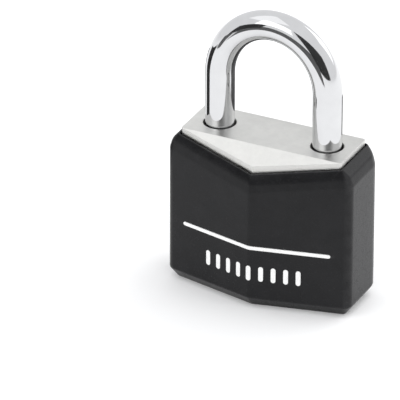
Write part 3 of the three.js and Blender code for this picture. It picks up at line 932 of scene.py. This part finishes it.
class PADLOCK_OT_cover(bpy.types.Operator):
    """Builds the moulded cover with its bevels, lip, floor and stripe groove"""

    bl_idname = "padlock.cover"
    bl_label = "Cover"

    def execute(self, context):
        scene = context.scene
        sizes, marks, block_sizes = scene.padlock_cover, scene.padlock_marks, scene.padlock_block
        outside, rounding, block = cover_section(), cover_rounding(), block_section()
        lip, inner = block.offset(sizes.gap + sizes.lip), block.offset(sizes.gap)
        crown = outside.blend(lip, sizes.crown_across)
        # Roundings are those of the ridge, the front corners and the back corners.
        corner_round = block_sizes.corner_round
        inner_rounding = (block_sizes.ridge_round, corner_round, corner_round)
        lip_rounding = (block_sizes.ridge_round, 0.5 * MM, 1.3 * MM)
        foot_rounding = (1.0 * MM, 0.8 * MM, 1.8 * MM)
        crown_rounding = [
            between(low, high, sizes.crown_across) for low, high in zip(rounding, lip_rounding)
        ]
        shares = self.columns(outside, rounding), (0.33, 0.67), self.back_columns(outside)

        def ring(section, corners, height, dip=0.0):
            return section.ring(section.outline(corners, 8, *shares), height, dip)

        shoulder, edge = BLOCK_HIGH.z - sizes.shoulder_drop, BLOCK_HIGH.z - sizes.lip_drop
        crown_drop = between(sizes.shoulder_drop, sizes.lip_drop, sizes.crown_up)
        crown_dip = between(sizes.shoulder_dip, sizes.lip_dip, sizes.crown_up)
        foot = ring(outside.offset(-sizes.foot_inset), foot_rounding, 0.0)
        # Every level's points, and how far the crease there is rounded.
        levels = [
            (hole_ring(foot, sizes.plug_hole, 0.0), 0.2 * MM),
            (foot, 0.35 * MM),
            (ring(outside, rounding, sizes.foot_rise), sizes.crease),
            *((ring(outside, rounding, z), 0) for z in self.stripe_rows(marks)),
            (ring(outside, rounding, shoulder, sizes.shoulder_dip), sizes.crease),
            (ring(crown, crown_rounding, BLOCK_HIGH.z - crown_drop, crown_dip), 0.8 * MM),
            (ring(lip, lip_rounding, edge, sizes.lip_dip), 0.13 * MM),
            (ring(inner, inner_rounding, edge, sizes.lip_dip), 0.07 * MM),
            (ring(inner, inner_rounding, sizes.floor), 0.2 * MM),
            (hole_ring(foot, sizes.plug_hole, sizes.floor), 0.1 * MM),
        ]
        rings = with_creases(levels)
        for points in rings:
            for point in points:
                self.press_groove(point, marks, outside)
        piece = as_object("moulded_cover", lofted(rings, closed=True))
        plastic = cover_plastic()
        complete(piece, plastic, "body", "cover_plastic", ["cover_shell"], sharp=60)
        return {"FINISHED"}

    def columns(self, outside, rounding):
        """Where the front faces are divided: closely at the stripe's round ends."""
        plain = outside.outline(rounding, 8)
        start, end = plain[8].x, plain[9].x
        places = [share * STRIPE_END for share in (0.15, 0.3, 0.45, 0.6, 0.75, 0.9)]
        places += [STRIPE_END - 0.8 * MM + 0.075 * MM * k for k in range(14)]
        places += [STRIPE_END + 1.0 * MM]
        return [(x - start) / (end - start) for x in places]

    def back_columns(self, outside):
        """Where the back is divided: evenly as seen from the plug, for a round hole."""
        away, width = outside.back - leg_depth(), 2 * outside.half_width
        turns = [math.radians(6.0 * k) for k in range(-10, 11)]
        return [0.5 + away * math.tan(turn) / width for turn in turns]

    def stripe_rows(self, marks):
        """Heights of rows across the stripe's groove, closest at its two walls."""
        wall = marks.stripe_width / 2 + marks.stripe_gap
        fine = [0.03 * MM * k for k in range(-3, 4)]
        away = [wall - 0.3 * MM] + [wall + step for step in fine] + [wall + 0.25 * MM]
        below = [STRIPE_HEIGHT - distance for distance in reversed(away)]
        return below + [STRIPE_HEIGHT] + [STRIPE_HEIGHT + distance for distance in away]

    def press_groove(self, point, marks, outside):
        """Moves a point of the outside inwards where it lies in the stripe's groove."""
        near, skin, wall_width = 2 * MM, 0.5 * MM, 0.05 * MM
        radius = marks.stripe_width / 2
        reach = STRIPE_END - radius
        if point.y > outside.corner or abs(point.z - STRIPE_HEIGHT) > near:
            return
        if point.y > front_face(min(abs(point.x), STRIPE_END + MM)) + skin:
            return
        across = math.hypot(max(0.0, abs(point.x) - reach), point.z - STRIPE_HEIGHT)
        inside = (radius + marks.stripe_gap - across) / wall_width
        share = min(1.0, max(0.0, 0.5 + inside / 2))
        point.y += marks.stripe_depth * share * share * (3 - 2 * share)


def between(low, high, share):
    return low + (high - low) * share


def hole_ring(outline, radius, height):
    """A round ring about the plug's axis, with one point for each of the outline's."""
    y = leg_depth()
    turns = [math.atan2(p.y - y, p.x) for p in outline]
    return [Vector((radius * math.cos(t), y + radius * math.sin(t), height)) for t in turns]


class PADLOCK_OT_stripe(bpy.types.Operator):
    """Builds the white stripe that is let into the cover"""

    bl_idname = "padlock.stripe"
    bl_label = "Stripe"

    def execute(self, context):
        radius = context.scene.padlock_marks.stripe_width / 2
        reach = STRIPE_END - radius
        ends = [reach + radius * math.sin(math.pi / 2 * k / 10) for k in range(1, 11)]
        straight = [reach * k / 12 for k in range(13)]
        ridge = [0.08 * MM * k for k in range(1, 7)]
        right = sorted(straight + ridge + ends)
        places = [-x for x in reversed(right[1:])] + right
        rings = [self.across(x, radius, reach) for x in places]
        piece = as_object("white_stripe", lofted(rings))
        complete(piece, print_white(), "body", "stripe_white", ["stripe_inlay"], sharp=50)
        return {"FINISHED"}

    def across(self, x, radius, reach):
        """The stripe's section at x: its outer edges are rounded."""
        past = min(radius, max(0.0, abs(x) - reach))
        half = max(0.02 * MM, math.sqrt(max(0.0, radius**2 - past**2)))
        skin, thickness, edge = front_face(x), 0.35 * MM, min(0.12 * MM, half / 2)
        section = [(-half, thickness), (-half, edge)]
        section += [(-half + 0.3 * edge, 0.3 * edge), (-half + edge, 0.0)]
        section += [(half - edge, 0.0), (half - 0.3 * edge, 0.3 * edge)]
        section += [(half, edge), (half, thickness)]
        return [Vector((x, skin + depth, STRIPE_HEIGHT + z)) for z, depth in section]


class PADLOCK_OT_bars(bpy.types.Operator):
    """Prints a plain row of white bars below the stripe"""

    bl_idname = "padlock.bars"
    bl_label = "Printed bars"

    def execute(self, context):
        marks = context.scene.padlock_marks
        section = cover_section()
        slope = math.atan2(section.corner - section.ridge, section.half_width)
        material = print_white()
        values = {"Count": marks.bar_count, "Pitch": marks.bar_pitch, "Material": material}
        values |= {"Bar Width": marks.bar_width, "Bar Height": marks.bar_height}
        values |= {"Thickness": marks.bar_thickness, "Row Height": marks.bar_centre}
        values |= {"Ridge Y": section.ridge, "Face Slope": slope}
        piece = bars_tree().grow("printed_bars", values)
        complete(piece, material, "body", "stripe_white")
        return {"FINISHED"}


class PADLOCK_OT_shackle(bpy.types.Operator):
    """Builds the chromed shackle with its neck, notches and chamfered ends"""

    bl_idname = "padlock.shackle"
    bl_label = "Shackle"

    def execute(self, context):
        sizes = context.scene.padlock_shackle
        x, y = leg_offset(), leg_depth()
        spring_line = SHACKLE_HIGH.z - sizes.bar - sizes.bow_rise
        material = shackle_chrome()
        bow_length = math.pi * math.sqrt((x**2 + sizes.bow_rise**2) / 2)
        values = {"Leg Offset": x, "Depth": y, "Sides": 72, "Material": material}
        values |= {"Heel End": SHACKLE_LOW.z, "Toe End": sizes.toe_end, "Step": sizes.step}
        values |= {"Spring Line": spring_line, "Bow Rise": sizes.bow_rise}
        values |= {"Bow Length": bow_length, "Bar Radius": sizes.bar, "Chamfer": sizes.chamfer}
        values |= {"Neck Low": sizes.neck_low, "Neck High": sizes.neck_high}
        piece = shackle_tree().grow("chromed_shackle", {**values, "Neck Radius": sizes.neck})
        bolt_height = height("locking_bolt_heel")
        notch = context.scene.padlock_block.channel
        inner = x - sizes.bar
        cut(
            piece,
            along_x(bar(notch, -inner - sizes.notch_depth, -inner + MM), y, bolt_height),
            along_x(bar(notch, inner - MM, inner + sizes.notch_depth), y, bolt_height),
        )
        clean(piece)
        complete(piece, material, "shackle", "shackle_chrome", ["shackle"], sharp=30)
        return {"FINISHED"}


class PADLOCK_OT_cylinder(bpy.types.Operator):
    """Builds the plug with its keyway, and the shell, strip, clip and cross pin"""

    bl_idname = "padlock.cylinder"
    bl_label = "Cylinder"

    def execute(self, context):
        sizes = context.scene.padlock_cylinder
        brass = turned_metal("turned_brass", sizes.brass, 0.3, (6, 6, 1))
        steel = turned_metal("ground_steel", sizes.steel, 0.36, (8, 8, 1))
        wire = turned_metal("clip_steel", sizes.wire, 0.3, (1, 1, 6))
        face = turned_metal("plug_face_brass", sizes.brass, 0.28)
        self.plug(sizes, face)
        for node_name, name, material, slot, body in (
            ("cylinder_shell", "brass_shell", brass, "cylinder_brass", "body"),
            ("chamber_strip", "brass_chamber_strip", brass, "cylinder_brass", "body"),
            ("shell_retainer", "steel_cross_pin", steel, "hard_steel", "body"),
            ("side_plug", "steel_side_plug", steel, "hard_steel", "body"),
            ("plug_clip", "spring_steel_clip", wire, "spring_steel", "rotor"),
            ("cam", "steel_cam", steel, "hard_steel", "rotor"),
        ):
            piece = refined(node_name, name, sizes.edge)
            complete(piece, material, body, slot, [node_name])
        return {"FINISHED"}

    def plug(self, sizes, material):
        """The plug, turned, then cut for its keyway, pin chambers and tail slot."""
        low, top = PLUG_LOW.z, PLUG_HIGH.z
        head, body, edge = PLUG_HIGH.x, sizes.plug, sizes.head_round
        dish, broken = 0.12 * MM, 0.1 * MM
        profile = [(0, low + dish), (0.6 * head, low + dish), (0.64 * head, low + 0.02 * MM)]
        profile += [(head - edge, low), (head - 0.3 * edge, low + 0.3 * edge)]
        profile += [(head, low + edge), (head, sizes.head_top)]
        groove, groove_low, groove_high = body - 0.9 * MM, 24.6 * MM, 25.4 * MM
        profile += [(body, sizes.head_top), (body, groove_low), (groove, groove_low)]
        profile += [(groove, groove_high), (body, groove_high), (body, top - broken)]
        profile += [(body - broken, top), (0, top)]
        piece = as_object("brass_plug", turned(profile, 96))
        pin_heights = [height(f"key_pin_{i + 1}") for i in range(PIN_COUNT)]
        ends = low - MM, pin_heights[-1] + 1.65 * MM
        slot = lofted([[Vector((x, y, z)) for x, y in keyway_outline()] for z in ends])
        chamber, chamber_start = 1.35 * MM, -1.8 * MM
        chambers = [
            along_x(bar(chamber, chamber_start, body + MM, 32), 0, z) for z in pin_heights
        ]
        tail_half, tail_depth = 0.95 * MM, 1.4 * MM
        tail = box((-tail_half, -body - MM, top - tail_depth), (tail_half, body + MM, top + MM))
        cut(piece, slot, *chambers, tail)
        clean(piece)
        piece.data.transform(shift(0, leg_depth(), 0))
        complete(piece, material, "rotor", "cylinder_brass", ["cylinder_plug"])


def keyway_outline():
    """The keyway's zigzag section about the plug's axis, lying along X as at rest."""
    low, high, half, jog = -2.6 * MM, 1.9 * MM, 0.65 * MM, 0.3 * MM
    upright = [(-half + jog, -high), (half + jog, -high), (half + jog, -jog)]
    upright += [(half - jog, jog), (half - jog, -low), (-half - jog, -low)]
    upright += [(-half - jog, jog), (-half + jog, -jog)]
    return [(-y, x) for x, y in upright]


class PADLOCK_OT_bolts(bpy.types.Operator):
    """Builds the two domed locking bolts"""

    bl_idname = "padlock.bolts"
    bl_label = "Locking bolts"

    def execute(self, context):
        sizes = context.scene.padlock_cylinder
        steel = turned_metal("bolt_steel", sizes.steel, 0.3, (1, 8, 8))
        for side in ("heel", "toe"):
            low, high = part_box(f"locking_bolt_{side}")
            radius, dome = (high.z - low.z) / 2, 0.9 * MM
            ball = (radius**2 + dome**2) / (2 * dome)
            sweep = math.asin(radius / ball)
            turns = [sweep * k / 10 for k in range(11)]
            cap = [(ball * math.sin(turn), ball * (1 - math.cos(turn))) for turn in turns]
            span = high.x - low.x
            profile = cap + [(r, span - z) for r, z in reversed(cap)]
            bolt = moved(turned(profile, 48), shift(0, 0, low.x))
            along_x(bolt, leg_depth(), (low.z + high.z) / 2)
            piece = as_object(f"steel_bolt_{side}", bolt)
            complete(piece, steel, f"bolt_{side}", "hard_steel", [f"locking_bolt_{side}"])
        return {"FINISHED"}


class PADLOCK_OT_pins(bpy.types.Operator):
    """Builds the four key pins and the four driver pins"""

    bl_idname = "padlock.pins"
    bl_label = "Pins"

    def execute(self, context):
        sizes = context.scene.padlock_cylinder
        brass = turned_metal("pin_brass", sizes.brass, 0.26)
        for i in range(1, PIN_COUNT + 1):
            low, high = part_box(f"key_pin_{i}")
            pin = moved(self.pin((high.z - low.z) / 2, high.x - low.x), shift(0, 0, low.x))
            along_x(pin, leg_depth(), (low.z + high.z) / 2)
            key_pin = as_object(f"brass_key_pin_{i}", pin)
            complete(key_pin, brass, f"key_pin_{i}", "cylinder_brass", [f"key_pin_{i}"])
            low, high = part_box(f"driver_pin_{i}")
            pin = self.pin((high.z - low.z) / 2, high.y - low.y)
            place = ((low.x + high.x) / 2, high.y, (low.z + high.z) / 2)
            moved(pin, rotation(90, "X"), shift(*place))
            driver = as_object(f"brass_driver_pin_{i}", pin)
            complete(driver, brass, f"driver_pin_{i}", "cylinder_brass", [f"driver_pin_{i}"])
        return {"FINISHED"}

    def pin(self, radius, span):
        """A pin along Z from 0, coned at its inner end and broken at its outer one."""
        tip, edge = 0.45 * radius, 0.1 * MM
        profile = [(0, 0), (radius - tip, 0), (radius, tip)]
        return turned(profile + [(radius, span - edge), (radius - edge, span), (0, span)], 40)


class PADLOCK_OT_springs(bpy.types.Operator):
    """Builds the shackle's spring and the four pin springs"""

    bl_idname = "padlock.springs"
    bl_label = "Springs"

    def execute(self, context):
        sizes = context.scene.padlock_cylinder
        steel = turned_metal("spring_wire", sizes.wire, 0.24)
        tree = coil_tree()
        low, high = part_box("shackle_spring")
        wire = 0.35 * MM
        values = {"Coil Radius": (high.x - low.x) / 2 - wire, "Wire Radius": wire}
        values |= {"Length": high.z - low.z - 2 * wire, "Turned": (0.0, 0.0, 0.0)}
        values |= {"Place": (-leg_offset(), leg_depth(), low.z + wire), "Turns": 6.0}
        values |= {"Steps Per Turn": 32, "Sides": 14, "Material": steel}
        coil = tree.grow("shackle_coil", values)
        self.stretch(coil, steel, "shackle", "shackle_spring", low.z, high.z, 2)
        for i in range(1, PIN_COUNT + 1):
            low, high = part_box(f"pin_spring_{i}")
            wire = 0.13 * MM
            values = {"Coil Radius": (high.z - low.z) / 2 - wire, "Wire Radius": wire}
            values |= {"Length": high.y - low.y - 2 * wire, "Turned": (math.pi / 2, 0.0, 0.0)}
            values |= {"Place": (0.0, high.y - wire, (low.z + high.z) / 2), "Turns": 3.0}
            values |= {"Steps Per Turn": 24, "Sides": 10, "Material": steel}
            coil = tree.grow(f"pin_coil_{i}", values)
            self.stretch(coil, steel, f"driver_pin_{i}", f"pin_spring_{i}", low.y, high.y, 1)
        return {"FINISHED"}

    def stretch(self, coil, steel, moving, node_name, fixed, free, axis):
        """Finishes a coil where it was built: marks its edges, gives it its material and hides the
        CAD part it stands for.
        """
        mark_edge_wear_and_highlight(coil)
        coil.data.materials.clear()
        coil.data.materials.append(steel)
        low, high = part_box(node_name)
        start, end = (low + high) / 2, (low + high) / 2
        start[axis], end[axis] = fixed, free
        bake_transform(coil)
        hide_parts(node_name)


# ---------------------------------------------------------------- studio


class PADLOCK_OT_stage(bpy.types.Operator):
    """Sets the pale floor, the soft lights, the flags and the camera"""

    bl_idname = "padlock.stage"
    bl_label = "Studio"

    def execute(self, context):
        sizes = context.scene.padlock_stage
        self.floor(sizes)
        self.sky()
        # Each light's place, width, depth and watts; each card's middle, size and grey.
        self.softbox("overhead softbox", (-0.36, -0.22, 0.86), 0.7, 0.7, 0.55)
        self.softbox("front softbox", (-0.22, -0.62, 0.52), 0.54, 0.42, 0.70)
        self.softbox("back softbox", (0.50, 0.92, 0.42), 0.7, 0.6, 1.1)
        self.softbox("floor light", (0.26, 0.28, 0.60), 0.6, 0.6, 1.7, seen=False)
        self.flag("front left flag", (-0.32, -0.35, 0.10), (0.30, 0.001, 0.20))
        self.flag("front flag", (-0.045, -0.35, 0.0425), (0.25, 0.001, 0.085), 0.10)
        self.flag("front right flag", (0.44, -0.35, 0.23), (0.72, 0.001, 0.46))
        self.flag("low front flag", (-0.035, -0.15, 0.022), (0.17, 0.001, 0.044), 0.10)
        self.flag("low left flag", (-0.17, -0.13, 0.025), (0.10, 0.001, 0.050), 0.10)
        self.flag("side flag", (-0.075, -0.012, 0.022), (0.001, 0.044, 0.044))
        self.flag("back flag", (0.002, 0.020, 0.020), (0.038, 0.001, 0.040), 0.20)
        self.flag("back left flag", (-0.045, 0.045, 0.015), (0.060, 0.001, 0.030), 0.12)
        self.camera(sizes)
        return {"FINISHED"}

    def floor(self, sizes):
        half, thickness, gap = sizes.floor_half, 0.02, 0.05 * MM
        floor = as_object("floor", box((-half, -half, -thickness), (half, half, -gap)))
        floor.data.materials.append(floor_paper())

    def sky(self):
        world = bpy.data.worlds.new("studio")
        world.use_nodes = True
        background = world.node_tree.nodes["Background"]
        background.inputs["Color"].default_value = (0.98, 0.985, 1.0, 1.0)
        background.inputs["Strength"].default_value = 0.98
        bpy.context.scene.world = world
        bpy.context.scene.view_settings.view_transform = "Standard"

    def softbox(self, name, place, width, depth, power, seen=True):
        """A square light aimed at the padlock, seen in polished metal or not."""
        light = bpy.data.lights.new(name, "AREA")
        light.shape = "RECTANGLE"
        light.size = width
        light.size_y = depth
        light.energy = power
        lamp = bpy.data.objects.new(name, light)
        lamp.location = place
        aim = Vector((0, 0, 0.03)) - Vector(place)
        lamp.rotation_euler = aim.to_track_quat("-Z", "Y").to_euler()
        lamp.visible_camera = False
        lamp.visible_glossy = seen
        bpy.context.scene.collection.objects.link(lamp)

    def flag(self, name, centre, size, grey=0.02):
        """A dark card that only shows as a dark line in polished surfaces."""
        middle, half = Vector(centre), Vector(size) / 2
        card = as_object(name.replace(" ", "_"), box(middle - half, middle + half))
        card.data.materials.append(Finish(name, (grey, grey, grey), 0.9).material)
        for kind in ("camera", "diffuse", "shadow", "transmission"):
            setattr(card, f"visible_{kind}", False)

    def camera(self, sizes):
        data = bpy.data.cameras.new("camera")
        data.lens = sizes.lens
        data.sensor_width = 36.0
        data.clip_start = 0.05
        data.clip_end = 50.0
        turn, tilt = math.radians(sizes.azimuth), math.radians(sizes.elevation)
        across, up = math.cos(tilt), math.sin(tilt)
        back = Vector((math.sin(turn) * across, -math.cos(turn) * across, up))
        aim = Vector((-9.116 * MM, -14.414 * MM, 26.085 * MM))
        camera = bpy.data.objects.new("camera", data)
        camera.location = aim + back * sizes.distance
        level = (-back).to_track_quat("-Z", "Y")
        camera.rotation_mode = "QUATERNION"
        camera.rotation_quaternion = level @ Quaternion((0, 0, 1), math.radians(sizes.roll))
        bpy.context.scene.collection.objects.link(camera)
        bpy.context.scene.camera = camera


# ---------------------------------------------------------------- add-on


class PADLOCK_PT_panel(bpy.types.Panel):
    """Lists the padlock's pieces and the studio"""

    bl_idname = "PADLOCK_PT_panel"
    bl_label = "Padlock"
    bl_space_type = "VIEW_3D"
    bl_region_type = "UI"
    bl_category = "Padlock"

    def draw(self, context):
        for operator in OPERATORS:
            self.layout.operator(operator.bl_idname)


GROUPS = {
    "padlock_block": PadlockBlockSizes,
    "padlock_cover": PadlockCoverSizes,
    "padlock_marks": PadlockMarkSizes,
    "padlock_shackle": PadlockShackleSizes,
    "padlock_cylinder": PadlockCylinderSizes,
    "padlock_stage": PadlockStageSizes,
}
OPERATORS = [
    PADLOCK_OT_block,
    PADLOCK_OT_cover,
    PADLOCK_OT_stripe,
    PADLOCK_OT_bars,
    PADLOCK_OT_shackle,
    PADLOCK_OT_cylinder,
    PADLOCK_OT_bolts,
    PADLOCK_OT_pins,
    PADLOCK_OT_springs,
    PADLOCK_OT_stage,
]


def register():
    for name, group in GROUPS.items():
        bpy.utils.register_class(group)
        setattr(bpy.types.Scene, name, bpy.props.PointerProperty(type=group))
    for each in OPERATORS + [PADLOCK_PT_panel]:
        bpy.utils.register_class(each)


def unregister():
    for each in reversed(OPERATORS + [PADLOCK_PT_panel]):
        bpy.utils.unregister_class(each)
    for name, group in reversed(GROUPS.items()):
        delattr(bpy.types.Scene, name)
        bpy.utils.unregister_class(group)


def main():
    register()
    bpy.ops.padlock.block()
    bpy.ops.padlock.cover()
    bpy.ops.padlock.stripe()
    bpy.ops.padlock.bars()
    bpy.ops.padlock.shackle()
    bpy.ops.padlock.cylinder()
    bpy.ops.padlock.bolts()
    bpy.ops.padlock.pins()
    bpy.ops.padlock.springs()
    bpy.ops.padlock.stage()


if __name__ == "__main__":
    main()
